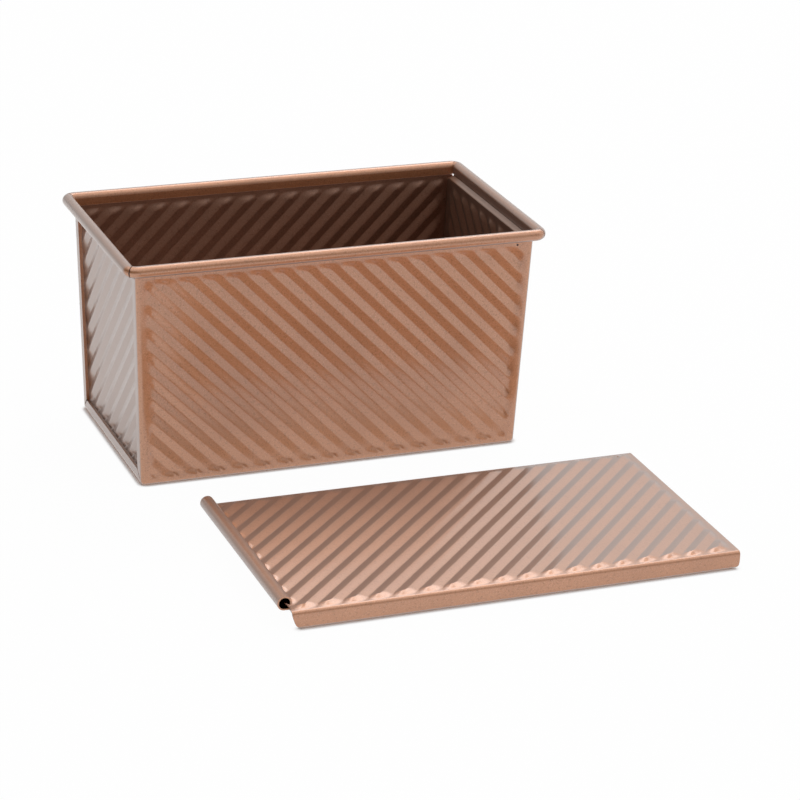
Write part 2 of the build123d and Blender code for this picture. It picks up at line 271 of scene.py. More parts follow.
def wave(across, ridges, pitch, phase):
    """Depth and slope of the pressed sheet at distances across the ridges.

    Straight flanks run between the middles of the grooves and of the lands, and arcs that touch
    both flanks round the corners. On a flank the depth falls in proportion to the distance from
    the groove, and in an arc it follows the circle.
    """
    place = (across / pitch - phase + 0.5) % 1 - 0.5
    from_groove = np.abs(place) * pitch
    from_land = pitch / 2 - from_groove
    lean = math.atan(2 * ridges.depth / pitch)
    reach = ridges.crest * math.sin(lean)
    depth = ridges.depth - from_groove * math.tan(lean)
    slope = np.full_like(depth, math.tan(lean))
    for away, sign in [(from_groove, -1), (from_land, 1)]:
        near = np.minimum(away, reach)
        chord = np.sqrt(ridges.crest**2 - near**2)
        cut = ridges.crest / math.cos(lean) - chord - near * math.tan(lean)
        depth = depth + np.where(away < reach, sign * cut, 0)
        slope = np.where(away < reach, near / chord, slope)
    return ridges.drop + depth, slope


def drawn_to_crests(across, pitch, phase, window):
    """Shifts, across the ridges, that draw the grid's points nearest each crest close to it."""
    place = (across / pitch - phase) % 0.5
    near = 1 / RIDGE_POINTS
    shift = near - CREST_SHARE
    return np.interp(place, [0, near, 0.25, 0.5 - near, 0.5], [0, -shift, 0, shift, 0]) * pitch * window


def fade_in(inside, fade):
    """Smooth step from 0 at a field's edge to 1 a fade's length inside it."""
    step = np.clip(inside / fade, 0, 1)
    return step * step * (3 - 2 * step)


def faded(depth_and_slope, window, inset):
    """How far a sheet's face lies behind the plain one, where its other face is inset behind it.

    The inset, and the window's share of the ridge's depth and of the inset's growth on a slope.
    """
    depth, slope = depth_and_slope
    return inset + window * (depth + inset * (np.sqrt(1 + slope**2) - 1))


def spread(low, high, step, phase=0.0):
    """Multiples of a step, shifted by a phase, strictly between two bounds, and the bounds."""
    margin = step / 3
    first = math.ceil((low + margin - phase) / step)
    last = math.floor((high - margin - phase) / step)
    return np.concatenate([[low], np.arange(first, last + 1) * step + phase, [high]])


def drawn_columns(count, step, left, right, steps=BORDER_STEPS):
    """Places along each row of a grid: an even core about zero, and borders drawn to the row's ends."""
    core = np.arange(1 - count, count) * step
    border = np.arange(1, steps + 1) / steps
    before = core[0] + border[::-1] * (left - core[0])
    after = core[-1] + border * (right - core[-1])
    return np.concatenate([before, np.broadcast_to(core, (len(right), len(core))), after], 1)


def grid_triangles(rows, columns):
    """Triangles of a grid, split along the diagonal from one row and column to the next of both."""
    place = np.arange(rows * columns).reshape(rows, columns)
    a, b, c, d = place[:-1, :-1], place[:-1, 1:], place[1:, 1:], place[1:, :-1]
    upper = np.stack([a, b, c], -1).reshape(-1, 3)
    lower = np.stack([a, c, d], -1).reshape(-1, 3)
    return np.concatenate([upper, lower])


def sheet_shell(outer, inner):
    """Closed sheet between two grids of one shape: both grids, and a strip round their edges.

    A shell is its points, its faces and the number of each face's material: 1 on the inner side.
    """
    rows, columns = outer.shape[:2]
    count = rows * columns
    place = np.arange(count).reshape(rows, columns)
    edge = np.concatenate([place[0, :-1], place[:-1, -1], place[-1, :0:-1], place[:0:-1, 0]])
    after = np.roll(edge, -1)
    faces = grid_triangles(rows, columns)
    strip = np.concatenate(
        [np.stack([after, edge, edge + count], -1), np.stack([after, edge + count, after + count], -1)]
    )
    points = np.concatenate([outer.reshape(-1, 3), inner.reshape(-1, 3)])
    marks = np.repeat([0, 1, 0], [len(faces), len(faces), len(strip)])
    return points, np.concatenate([faces, faces[:, ::-1] + count, strip]), marks


def bar_shell(stations):
    """Closed bar: a ring of points carried through stations, with a cap at each end.

    Stations is a grid of one ring per row. A cap is a fan of triangles to the ring's mean point.
    """
    rows, ring = stations.shape[:2]
    closed = np.concatenate([stations, stations[:, :1]], 1)
    points = [closed.reshape(-1, 3), stations[0].mean(0)[None], stations[-1].mean(0)[None]]
    faces = [grid_triangles(rows, ring + 1)]
    first = np.arange(ring)
    last = first + (rows - 1) * (ring + 1)
    start_cap, end_cap = rows * (ring + 1), rows * (ring + 1) + 1
    faces.append(np.stack([first + 1, first, np.full(ring, start_cap)], -1))
    faces.append(np.stack([last, last + 1, np.full(ring, end_cap)], -1))
    faces = np.concatenate(faces)
    return np.concatenate(points), faces, np.zeros(len(faces), int)


def welded(points, faces, marks):
    """The same shell with near points made one, empty faces dropped and its faces turned outwards."""
    _, kept, new = np.unique(
        np.round(points / WELD).astype(np.int64), axis=0, return_index=True, return_inverse=True
    )
    points = points[kept]
    faces = new.reshape(-1)[faces]
    solid = (faces[:, 0] != faces[:, 1]) & (faces[:, 1] != faces[:, 2]) & (faces[:, 2] != faces[:, 0])
    faces, marks = faces[solid], marks[solid]
    a, b, c = points[faces[:, 0]], points[faces[:, 1]], points[faces[:, 2]]
    if np.einsum("ij,ij->i", a, np.cross(b, c)).sum() < 0:
        faces = faces[:, ::-1]
    return points, faces, marks


def make_piece(name, shells, materials, body, node):
    """Puts shells into one mesh object that rides on a body and stands for a CAD node.

    The shells' marks number the materials.
    """
    points, faces, marks, count = [], [], [], 0
    for shell in shells:
        shell_points, shell_faces, shell_marks = welded(*shell)
        points.append(shell_points)
        faces.append(shell_faces + count)
        marks.append(shell_marks)
        count += len(shell_points)
    points = np.concatenate(points).astype(np.float32)
    faces = np.concatenate(faces).astype(np.int32)
    mesh = bpy.data.meshes.new(name)
    mesh.vertices.add(len(points))
    mesh.vertices.foreach_set("co", points.ravel())
    mesh.loops.add(faces.size)
    mesh.loops.foreach_set("vertex_index", faces.ravel())
    mesh.polygons.add(len(faces))
    mesh.polygons.foreach_set("loop_start", np.arange(len(faces), dtype=np.int32) * 3)
    mesh.polygons.foreach_set("use_smooth", np.ones(len(faces), dtype=bool))
    mesh.polygons.foreach_set("material_index", np.concatenate(marks).astype(np.int32))
    mesh.update(calc_edges=True)
    if mesh.validate():
        raise RuntimeError(f"{name} has faces that aren't valid")
    mesh.set_sharp_from_angle(angle=SHARP_ANGLE)
    for material in materials:
        mesh.materials.append(material)
    piece = bpy.data.objects.new(name, mesh)
    bpy.context.scene.collection.objects.link(piece)
    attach(piece, body)
    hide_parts(node)
    return piece


def drill(piece, centre, direction, diameter, reach):
    """Cuts a round hole through a piece along a direction."""
    turns = np.linspace(0, 2 * math.pi, HOLE_POINTS, endpoint=False)
    way = np.array(direction, float) / np.linalg.norm(direction)
    side = np.cross(way, [1, 0, 0])
    side /= np.linalg.norm(side)
    up = np.cross(way, side)
    ring = diameter / 2 * (np.cos(turns)[:, None] * side + np.sin(turns)[:, None] * up)
    stations = np.stack([centre - way * reach + ring, centre + way * reach + ring])
    points, faces, _ = welded(*bar_shell(stations))
    mesh = bpy.data.meshes.new("drill")
    mesh.from_pydata(points.tolist(), [], faces.tolist())
    cutter = bpy.data.objects.new("drill", mesh)
    bpy.context.scene.collection.objects.link(cutter)
    cut = piece.modifiers.new("hole", "BOOLEAN")
    cut.operation = "DIFFERENCE"
    cut.solver = "FAST"
    cut.object = cutter
    graph = bpy.context.evaluated_depsgraph_get()
    drilled = bpy.data.meshes.new_from_object(piece.evaluated_get(graph), depsgraph=graph)
    piece.modifiers.clear()
    piece.data = drilled
    bpy.data.objects.remove(cutter)


def body_section(tub, sizes, ridges, step):
    """The body's outer section, from the front wall's top, under the floor, to the back wall's top.

    Columns are y, z, the outward normal's y and z, the upward (on the floor: backward) direction's y
    and z, the distance along it, the distance from the lower corner, the ridges' phase and lean, and
    the kind: 0 in a fold, 1 on a wall, 2 on the floor. The folds are arcs that touch wall and floor.
    """
    lean = tub.side_lean
    sine, cosine = math.sin(lean), math.cos(lean)
    turn = math.pi / 2 - lean
    tangent = sizes.fold * math.tan(turn / 2)
    flange_top = tub.rim_z - sizes.flange_drop
    root = math.sqrt(2)

    def wall(side, phase):
        up = spread(tangent, flange_top / cosine, step, phase * ridges.body_pitch * root)
        up = np.append(up, np.array([flange_top + sizes.flange_rise, tub.wall_top]) / cosine)
        y = side * (tub.half_base_width + up * sine)
        return joined(y, up * cosine, side * cosine, -sine, side * sine, cosine, up, up, phase, -side, 1)

    def fold(side):
        turns = lean + turn * np.arange(1, BEND_STEPS) / BEND_STEPS
        out, down = np.cos(turns), np.sin(turns)
        y = side * (tub.half_base_width - tangent + sizes.fold * out)
        return joined(y, sizes.fold * (1 - down), side * out, -down, 0, 1, 0, 0, 0, 1, 0)

    half = tub.half_base_width - tangent
    y = spread(-half, half, step, ridges.floor_phase * ridges.body_pitch * root)
    corner = tub.half_base_width - np.abs(y)
    floor = joined(y, 0, 0, -1, 1, 0, y, corner, ridges.floor_phase, -1, 2)
    front, back = wall(-1, ridges.front_phase)[::-1], wall(1, ridges.back_phase)
    return np.concatenate([front, fold(-1), floor, fold(1)[::-1], back])


def body_sheet(tub, sizes, ridges, inset):
    """One face of the body sheet, as a grid: rows go down the front, along the floor and up the back.

    Along a row, x runs over the sheet, then round a quarter fold, and the row turns inwards as the
    flange. A point is its row's section point moved in along the normal by t: by the inset and the
    ridges on the sheet, by fold - (fold - inset) cos(angle) round the fold, and on across the flange.
    """
    pitch = ridges.body_pitch
    root = math.sqrt(2)
    step = pitch * root / RIDGE_POINTS
    section = body_section(tub, sizes, ridges, step)
    y, z, normal_y, normal_z, up_y, up_z, along, corner, phase, lean, kind = section.T[..., None]
    fold = sizes.fold

    turns = np.arange(1, BEND_STEPS + 1) / BEND_STEPS * math.pi / 2
    across = np.arange(1, FLANGE_STEPS + 1) / FLANGE_STEPS

    # Sheet, between the leaning folds
    count = round(tub.half_base_length / step) - BODY_MARGIN
    x = drawn_columns(count, step, fold - tub.half_length(z), tub.half_length(z) - fold)
    sides = tub.half_length(z) - ridges.side_border - np.abs(x)
    on_wall = np.minimum(sides, np.minimum(z - ridges.side_low, tub.rim_z - ridges.side_top - z))
    on_floor = np.minimum(
        tub.half_base_length - ridges.floor_end - np.abs(x),
        tub.half_base_width - ridges.floor_long - np.abs(y),
    )
    window = fade_in(np.where(kind == 2, on_floor, np.where(kind == 1, on_wall, -1)), ridges.fade)
    s = (along + lean * x) / root
    shift = drawn_to_crests(s, pitch, phase, window)
    x = x + lean * shift / root
    t = faded(wave(s + shift, ridges, pitch, phase), window, inset)
    sheet_y = y + up_y * shift / root - normal_y * t
    sheet_z = z + up_z * shift / root - normal_z * t

    # Fold and flange at the right end, mirrored to the left
    fold_t = np.broadcast_to(fold - (fold - inset) * np.cos(turns), (len(z), len(turns)))
    fold_x = (fold - inset) * np.sin(turns) - fold
    reach = np.clip(corner - sizes.slit, fold, sizes.flange)
    flange_top = (tub.rim_z - sizes.flange_drop) / math.cos(tub.side_lean)
    reach = np.where((kind == 1) & (corner > flange_top + sizes.flange_rise / 2), fold, reach)
    flange_t = fold + (reach - fold) * across
    flange_x = np.full(len(across), -inset / math.cos(tub.end_lean))
    end_t = np.concatenate([fold_t, flange_t], 1)
    end_x = np.concatenate([fold_x, flange_x])
    end_y, end_z = y - normal_y * end_t, z - normal_z * end_t
    end = tub.half_length(end_z) + end_x
    x = np.concatenate([-end[:, ::-1], x, end], 1)
    point_y = np.concatenate([end_y[:, ::-1], sheet_y, end_y], 1)
    point_z = np.concatenate([end_z[:, ::-1], sheet_z, end_z], 1)
    return joined(x, point_y, point_z)


def curl_section(tub, sizes, leg, lean):
    """Closed section of the curl: outward distance and height from the wire, from its leg to its tip."""
    tip = math.pi - sizes.curl_turn
    turns = np.linspace(math.pi, tip, CURL_STEPS)
    arc = joined(np.cos(turns), np.sin(turns))
    foot = [[-sizes.curl_inner - leg * math.tan(lean), -leg]]
    back = [[-tub.curl_outer - leg * math.tan(lean), -leg]]
    return np.concatenate([foot, sizes.curl_inner * arc, tub.curl_outer * arc[::-1], back])


def rim_curl(tub, sizes, half_run, standoff, leg, lean, quarter_turns):
    """Curl along one side: its section carried along a straight run and half a corner at each end.

    In a corner the section turns about the corner's centre, up to the mitre gap's half.
    """
    section = curl_section(tub, sizes, leg, lean)
    mitre = math.pi / 4 - sizes.mitre_gap / 2 / (sizes.corner + tub.curl_outer)
    turns = np.concatenate([np.zeros(1), mitre * np.arange(1, CORNER_STEPS + 1) / CORNER_STEPS])
    radius = sizes.corner + section[:, 0]
    along = half_run + np.sin(turns)[:, None] * radius
    out = standoff - sizes.corner + np.cos(turns)[:, None] * radius
    along = np.concatenate([-along[::-1], along])
    out = np.concatenate([out[::-1], out])
    x, y = [(along, -out), (out, along), (-along, out)][quarter_turns]
    return bar_shell(joined(x, y, tub.rim_z + section[:, 1]))


def panel_edge(tub, sizes, up):
    """Half the end panel's width at a distance up its plane."""
    height = up * math.cos(tub.end_lean)
    return tub.half_width(height) - sizes.sheet / math.cos(tub.side_lean) - sizes.panel_gap


def end_place(tub, depth, across, up):
    """Points of the right end, from the depth behind its outer plane, Y and the distance up it."""
    lean = tub.end_lean
    x = tub.half_base_length + up * math.sin(lean) - depth * math.cos(lean)
    z = up * math.cos(lean) + depth * math.sin(lean)
    return joined(x, across, z)


def panel_sheet(tub, sizes, ridges, inset):
    """One face of the right end panel's plate and step, as a grid of rows upwards.

    Below the step a point lies the plate's depth, the inset and the wave behind the end's plane.
    The step's rows follow a line that eases from the plate out to the rim's curl by a half cosine.
    """
    lean = tub.end_lean
    pitch, phase, root = ridges.end_pitch, ridges.end_phase, math.sqrt(2)
    step = pitch * root / RIDGE_POINTS
    low = (sizes.sheet + sizes.panel_gap) / math.cos(lean)
    middle = sizes.plate_depth + sizes.sheet / 2
    top = (tub.rim_z - sizes.joggle_drop - middle * math.sin(lean)) / math.cos(lean)
    up = spread(low, top, step, phase * pitch * root)[:, None]
    edge = panel_edge(tub, sizes, up)
    count = math.floor(panel_edge(tub, sizes, low) / step) - PANEL_MARGIN
    y = drawn_columns(count, step, -edge, edge)
    field = sizes.hem + ridges.panel
    inside = np.minimum(
        edge - field - np.abs(y), np.minimum(up - low - field, top - ridges.panel_top - up)
    )
    window = fade_in(inside, ridges.fade)
    across = (up - y) / root
    shift = drawn_to_crests(across, pitch, phase, window)
    pressed = wave(across + shift, ridges, pitch, phase)
    depth = sizes.plate_depth + faded(pressed, window, inset)
    plate = end_place(tub, depth, y - shift / root, up + shift / root)

    # Step out to the rim, in the thickness of the sheet on either side of its middle line
    start = end_place(tub, middle, np.zeros(1), np.array([top + sizes.joggle_straight]))[0]
    finish_x = tub.rim_x - sizes.curl_inner - sizes.sheet / 2
    share_up = np.arange(1, 2 * BEND_STEPS + 1) / (2 * BEND_STEPS)
    ease = (1 - np.cos(share_up * math.pi)) / 2
    rise = sizes.joggle_rise
    middle_x = start[0] + (finish_x - start[0]) * ease
    middle_z = start[2] + rise * share_up
    slope = np.arctan2((finish_x - start[0]) * np.sin(share_up * math.pi) * math.pi / 2, rise)
    side = sizes.sheet / 2 - inset
    step_x = middle_x + side * np.cos(slope)
    step_z = middle_z - side * np.sin(slope)
    first = end_place(tub, middle - side, np.zeros(1), np.array([top + sizes.joggle_straight]))[0]
    leg_z = tub.wall_top + sizes.joggle_gap
    step_x = np.concatenate([[first[0]], step_x, [finish_x + side]])
    step_z = np.concatenate([[first[2]], step_z, [leg_z]])
    flange_top = tub.rim_z - sizes.flange_drop
    strip = tub.half_width(flange_top) - sizes.fold - sizes.joggle_gap
    step_y = np.broadcast_to(y[-1] * strip / y[-1, -1], (len(step_x), y.shape[1]))
    return np.concatenate([plate, joined(step_x[:, None], step_y, step_z[:, None])])


def panel_hem(tub, sizes):
    """Hem round the end panel's sides and foot: a rounded bar's section carried along the outline.

    The section runs from its free edge out to a half circle at the panel's edge and back, and the
    outline at each of its points is drawn in by the point's distance from the edge.
    """
    back = sizes.plate_depth + sizes.sheet / 2
    radius = (back - sizes.hem_front) / 2
    turns = np.linspace(math.pi / 2, -math.pi / 2, BEND_STEPS + 1)
    inwards = np.concatenate([[sizes.hem], radius - radius * np.cos(turns), [sizes.hem]])
    depth = np.concatenate([[sizes.hem_front], sizes.hem_front + radius - radius * np.sin(turns), [back]])
    low = (sizes.sheet + sizes.panel_gap) / math.cos(tub.end_lean)
    top = (tub.rim_z - sizes.hem_drop) / math.cos(tub.end_lean)
    up = np.stack([np.full_like(inwards, top), low + inwards, low + inwards, np.full_like(inwards, top)])
    side = panel_edge(tub, sizes, up) - inwards
    across = side * np.array([-1, -1, 1, 1])[:, None]
    return bar_shell(end_place(tub, np.broadcast_to(depth, up.shape), across, up))


def end_shells(tub, sizes, ridges, left):
    """The shells of one end panel: plate with its step, hem and curl. The left is turned half round."""
    curl_leg = tub.rim_z - tub.wall_top - sizes.joggle_gap
    run = tub.rim_y - sizes.corner
    shells = [
        sheet_shell(panel_sheet(tub, sizes, ridges, 0), panel_sheet(tub, sizes, ridges, sizes.sheet)),
        panel_hem(tub, sizes),
        rim_curl(tub, sizes, run, tub.rim_x, curl_leg, 0, 1),
    ]
    if left:
        shells = [(points * np.array([-1, -1, 1]), faces, marks) for points, faces, marks in shells]
    return shells


def lid_sheet(lid, sizes, ridges, inset):
    """One face of the lid's sheet, as a grid: rows go round its C-shaped section, columns along it.

    The rows are the front lip, three straight runs joined by arcs, and the back lip. A row's ends
    follow the rail's end as seen from the side: slanted at the left, and rounded at the foot.
    """
    pitch, phase, root = ridges.lid_pitch, ridges.lid_phase, math.sqrt(2)
    step = pitch * root / RIDGE_POINTS
    half = lid.width / 2
    bend = lid.bend
    turns = np.arange(1, BEND_STEPS) / BEND_STEPS * math.pi / 2
    sine, cosine = np.sin(turns), np.cos(turns)
    lip = np.linspace(lid.lip, bend, LIP_POINTS)
    side = np.linspace(bend, lid.height - bend, RAIL_POINTS)
    rail_y = np.concatenate([lip, bend - bend * sine, 0 * side, bend - bend * cosine]) - half
    rail_z = np.concatenate([0 * lip, bend - bend * cosine, side, lid.height - bend + bend * sine])
    rail_normal_y = -np.concatenate([0 * lip, sine, np.ones(RAIL_POINTS), cosine])
    rail_normal_z = np.concatenate([-np.ones(LIP_POINTS), -cosine, 0 * side, sine])
    top = spread(bend - half, half - bend, step, phase * pitch * root)
    y = np.concatenate([rail_y, top, -rail_y[::-1]])
    z = np.concatenate([rail_z, np.full(len(top), lid.height), rail_z[::-1]])
    normal_y = np.concatenate([rail_normal_y, np.zeros(len(top)), -rail_normal_y[::-1]])
    normal_z = np.concatenate([rail_normal_z, np.ones(len(top)), rail_normal_z[::-1]])

    # Ends of the rows, from the rail's outline seen from the side
    foot = np.clip(1 - z / lid.corner, 0, 1)
    rounding = lid.corner * (1 - np.sqrt(1 - foot**2))
    slant = lid.slant * np.clip(1 - z / (lid.height - bend), 0, 1)
    left = slant + rounding - lid.length / 2
    right = lid.length / 2 - rounding
    count = round(lid.length / 2 / step) - LID_MARGIN
    x = drawn_columns(count, step, left[:, None], right[:, None], BORDER_STEPS + 1)

    rows_y, rows_z = y[:, None], z[:, None]
    roll_end = lid.roll / 2 - lid.roll_reach - lid.length / 2
    ends = np.minimum(lid.length / 2 - ridges.lid_right - x, x - roll_end - ridges.lid_roll)
    inside = np.minimum(ends, half - ridges.lid_side - np.abs(rows_y))
    window = fade_in(np.where((normal_z > 0.999)[:, None], inside, -1), ridges.fade)
    across = (rows_y - x) / root
    shift = drawn_to_crests(across, pitch, phase, window)
    depth, slope = wave(across + shift, ridges, pitch, phase)
    # The ridges are pressed from below, so the upper face swells by the growth on a slope
    rise = window * (depth + (inset == 0) * sizes.sheet * (np.sqrt(1 + slope**2) - 1))
    return joined(
        lid.centre_x + x - shift / root,
        lid.centre_y + rows_y + shift / root - normal_y[:, None] * (inset - rise),
        rows_z - normal_z[:, None] * (inset - rise),
    )


def lid_roll(lid, sizes):
    """Roll at the lid's left end: a hooked section carried across the lid.

    The section's outer and inner arcs turn from straight down, by way of the left, through the
    roll's turn, and a short tail joins them to the lid's sheet.
    """
    radius = lid.roll / 2
    left = lid.centre_x - lid.length / 2
    centre = np.array([left - lid.roll_reach, lid.height - sizes.sheet + radius])
    turns = -math.pi / 2 - np.linspace(0, lid.roll_turn, ROLL_STEPS)
    arc = joined(np.cos(turns), np.sin(turns))
    outer, inner = centre + radius * arc, centre + (radius - sizes.sheet) * arc
    tail = [[left, lid.height], [left, lid.height - sizes.sheet]]
    section = np.concatenate([outer, inner[::-1], tail])
    half = lid.width / 2 - lid.roll_inset
    across = lid.centre_y + np.array([[-half], [half]])
    return bar_shell(joined(section[:, 0], across, section[:, 1]))


def feed(tree, socket, value):
    """Links another socket into this one, or sets a number or a colour there."""
    if isinstance(value, bpy.types.NodeSocket):
        tree.links.new(value, socket)
    elif isinstance(value, (int, float)):
        socket.default_value = value
    else:
        socket.default_value = (*value, 1)


def noise(tree, coordinates, scale, detail, roughness=0.5):
    """A noise texture on the given coordinates."""
    texture = tree.nodes.new("ShaderNodeTexNoise")
    feed(tree, texture.inputs["Vector"], coordinates)
    feed(tree, texture.inputs["Scale"], scale)
    feed(tree, texture.inputs["Detail"], detail)
    feed(tree, texture.inputs["Roughness"], roughness)
    return texture.outputs["Fac"]


def ramp(tree, value, low, high, to_low=0.0, to_high=1.0):
    """A value mapped smoothly from one range to another."""
    node = tree.nodes.new("ShaderNodeMapRange")
    node.interpolation_type = "SMOOTHSTEP"
    for socket, number in zip(node.inputs, [value, low, high, to_low, to_high]):
        feed(tree, socket, number)
    return node.outputs["Result"]


def calculated(tree, operation, first, second):
    """A sum, product or the like of two values, each a socket or a number."""
    node = tree.nodes.new("ShaderNodeMath")
    node.operation = operation
    feed(tree, node.inputs[0], first)
    feed(tree, node.inputs[1], second)
    return node.outputs[0]


def mixed(tree, share_socket, first, second):
    """Two colours mixed by a value, each a socket or a fixed colour."""
    node = tree.nodes.new("ShaderNodeMix")
    node.data_type = "RGBA"
    feed(tree, node.inputs["Factor"], share_socket)
    feed(tree, node.inputs[6], first)
    feed(tree, node.inputs[7], second)
    return node.outputs[2]


def coating_group():
    """Metal-flake coating: fine bright flakes and dark spots over a faint cloudiness."""
    group = bpy.data.node_groups.new("Flake coating", "ShaderNodeTree")
    for name in ("Colour", "Flake colour", "Shade colour"):
        group.interface.new_socket(name=name, in_out="INPUT", socket_type="NodeSocketColor")
    for name, kind in [("Colour", "Color"), ("Roughness", "Float"), ("Height", "Float")]:
        group.interface.new_socket(name=name, in_out="OUTPUT", socket_type=f"NodeSocket{kind}")
    given = group.nodes.new("NodeGroupInput").outputs
    place = group.nodes.new("ShaderNodeTexCoord").outputs["Object"]
    flakes = noise(group, place, FLAKES, 3, 0.7)
    dark = ramp(group, noise(group, place, SPOTS, 2), 0.5, 0.75, 0, 0.7)
    cloudy = ramp(group, noise(group, place, CLOUDS, 3), 0.4, 0.75, 0, 0.25)
    tone = mixed(group, dark, given["Colour"], given["Shade colour"])
    tone = mixed(group, ramp(group, flakes, 0.5, 0.7), tone, given["Flake colour"])
    tone = mixed(group, cloudy, tone, given["Shade colour"])
    out = group.nodes.new("NodeGroupOutput").inputs
    feed(group, out["Colour"], tone)
    feed(group, out["Roughness"], ramp(group, flakes, 0.3, 0.7, 0.5, 0.6))
    feed(group, out["Height"], flakes)
    return group


def new_material(name):
    """A material with an empty Principled shader, its tree and that shader."""
    material = bpy.data.materials.new(name)
    material.use_nodes = True
    return material, material.node_tree, material.node_tree.nodes["Principled BSDF"]


def coating_material(name, tones, glancing_sheen, coat_ior):
    """Metallic coating on pressed steel, under a clear coat.

    Its tones are a main, a flake and a shade colour, and a painted sheen turns its base colour paler at
    grazing angles.
    """
    found = bpy.data.materials.get(name)
    if found:
        return found
    material, tree, shader = new_material(name)
    flakes = tree.nodes.new("ShaderNodeGroup")
    flakes.node_tree = bpy.data.node_groups.get("Flake coating") or coating_group()
    for socket, value in zip(flakes.inputs, tones):
        feed(tree, socket, value)
    weight = tree.nodes.new("ShaderNodeLayerWeight")
    weight.inputs["Blend"].default_value = 0.5
    # Painted sheen: the base colour is mixed towards the pale sheen colour where a face is seen at a
    # grazing angle.
    turned = ramp(tree, weight.outputs["Facing"], 0.3, 0.7)
    tone = mixed(tree, turned, flakes.outputs["Colour"], glancing_sheen)
    bump = tree.nodes.new("ShaderNodeBump")
    bump.inputs["Strength"].default_value = 0.12
    bump.inputs["Distance"].default_value = 0.00003
    feed(tree, bump.inputs["Height"], flakes.outputs["Height"])
    for name, value in [
        ("Base Color", tone),
        ("Roughness", flakes.outputs["Roughness"]),
        ("Normal", bump.outputs["Normal"]),
        ("Metallic", METALLIC),
        ("Coat Weight", COAT_WEIGHT),
        ("Coat Roughness", COAT_ROUGHNESS),
        ("Coat IOR", coat_ior),
    ]:
        feed(tree, shader.inputs[name], value)
    return material


def coatings(colours):
    """Coatings of the sheets' outer and inner faces; the inner is a darker copy of the outer, painted
    shade for the inside of the pan.
    """
    outer = (colours.coating, colours.flake, colours.shade)
    # Painted shade: the inner faces take darker copies of the coating's colours.
    inner = (colours.inner_coating_shaded, colours.inner_flake_shaded, colours.inner_spots_shaded)
    return [
        coating_material("rose_gold_coating", outer, colours.glancing_sheen, 2.0),
        coating_material("shaded_inner_rose_coating", inner, colours.inner_sheen_shaded, 1.5),
    ]


def wire_material(colours):
    """Plain drawn wire, with fine scratches."""
    material, tree, shader = new_material("drawn_wire")
    place = tree.nodes.new("ShaderNodeTexCoord").outputs["Object"]
    streaks = noise(tree, place, STREAKS, 2)
    tone = mixed(tree, streaks, colours.wire, [0.7 * value for value in colours.wire])
    feed(tree, shader.inputs["Base Color"], tone)
    feed(tree, shader.inputs["Roughness"], ramp(tree, streaks, 0.3, 0.7, 0.25, 0.4))
    feed(tree, shader.inputs["Metallic"], 1.0)
    return material


def show_mixed(tree, share_socket, first, second, output):
    """Shows two shaders, mixed by a share, as an output's surface."""
    mix = tree.nodes.new("ShaderNodeMixShader")
    for socket, value in zip(mix.inputs, [share_socket, first, second]):
        feed(tree, socket, value)
    feed(tree, tree.nodes[output].inputs["Surface"], mix.outputs[0])


class LOAFPAN_OT_body(bpy.types.Operator):
    """Build the pan's body: one pressed sheet with its flanges, and the two long curls of its rim"""

    bl_idname = "loafpan.body"
    bl_label = "Pan body"

    def execute(self, context):
        scene = context.scene
        sizes, ridges = scene.loafpan_sizes, scene.loafpan_ridges
        tub = Tub(sizes)
        outer = body_sheet(tub, sizes, ridges, 0)
        inner = body_sheet(tub, sizes, ridges, sizes.sheet)
        run = tub.rim_x - sizes.corner
        lean = tub.side_lean
        shells = [sheet_shell(outer, inner)]
        shells += [rim_curl(tub, sizes, run, tub.rim_y, sizes.leg, -lean, turns) for turns in (0, 2)]
        materials = coatings(scene.loafpan_colours)
        body = make_piece("pan_body_sheet", shells, materials, "pan", "pan_body")
        hole_z = tub.rim_z - sizes.hole_drop
        hole_x = tub.half_length(tub.rim_z) - sizes.hole_from_end
        centre = np.array([hole_x, -tub.half_width(hole_z), hole_z])
        drill(body, centre, (0, 1, 0), sizes.hole, 3 * sizes.sheet)
        return {"FINISHED"}


class LOAFPAN_OT_ends(bpy.types.Operator):
    """Build the two end panels, each with its hem, its step and the short curl of its rim"""

    bl_idname = "loafpan.ends"
    bl_label = "End panels"

    def execute(self, context):
        scene = context.scene
        sizes, ridges = scene.loafpan_sizes, scene.loafpan_ridges
        tub = Tub(sizes)
        materials = coatings(scene.loafpan_colours)
        for side in ("left", "right"):
            shells = end_shells(tub, sizes, ridges, side == "left")
            node = f"end_panel_{side}"
            make_piece(f"{node}_sheet", shells, materials, "pan", node)
        return {"FINISHED"}


class LOAFPAN_OT_wire(bpy.types.Operator):
    """Give the CAD model's rim wire its drawn finish"""

    bl_idname = "loafpan.wire"
    bl_label = "Rim wire"

    def execute(self, context):
        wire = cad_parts["rim_wire"]
        material = wire_material(context.scene.loafpan_colours)
        for slot in wire.material_slots:
            slot.material = material
        return {"FINISHED"}


class LOAFPAN_OT_lid(bpy.types.Operator):
    """Build the lid: one pressed sheet with its rails, and the roll at its left end"""

    bl_idname = "loafpan.lid"
    bl_label = "Lid"

    def execute(self, context):
        scene = context.scene
        sizes, ridges, lid = scene.loafpan_sizes, scene.loafpan_ridges, scene.loafpan_lid
        outer = lid_sheet(lid, sizes, ridges, 0)
        inner = lid_sheet(lid, sizes, ridges, sizes.sheet)
        shells = [sheet_shell(outer, inner), lid_roll(lid, sizes)]
        materials = coatings(scene.loafpan_colours)
        piece = make_piece("lid_sheet", shells, materials, "lid", "lid")
        hole_x = lid.centre_x + lid.length / 2 - lid.hole_from_end
        hole_y = lid.centre_y + lid.width / 2 - lid.hole_from_edge
        drill(piece, np.array([hole_x, hole_y, lid.height]), (0, 0, 1), sizes.hole, 3 * sizes.sheet)
        return {"FINISHED"}


